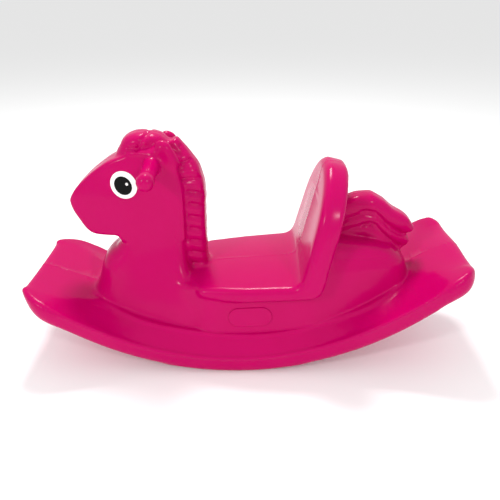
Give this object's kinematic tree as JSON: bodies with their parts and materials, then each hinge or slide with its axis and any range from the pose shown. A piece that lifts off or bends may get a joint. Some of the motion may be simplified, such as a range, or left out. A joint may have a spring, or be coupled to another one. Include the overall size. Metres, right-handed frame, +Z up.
{
  "type": "rocking horse",
  "caption": "Hollow moulded plastic rocking horse for a toddler: boat-shaped rocker, saddle with backrest, head with mane, cross grips and a waved tail",
  "frame": {"origin": "middle of the horse's footprint box, on the floor", "axes": "+Z up; the horse looks along -X; its left side is -Y; Y is the rocking axis's direction"},
  "size_m": [0.8456, 0.292, 0.44],
  "materials": {
    "shell": "satin rotomoulded polyethylene, coloured right through",
    "eye_label": "printed vinyl label",
    "vent_plug": "pressed-in polyethylene plug"
  },
  "bodies": {
    "root": {"shell": "shell", "eye_label_left": "eye_label", "eye_label_right": "eye_label", "vent_plug": "vent_plug"}
  },
  "joints": []
}
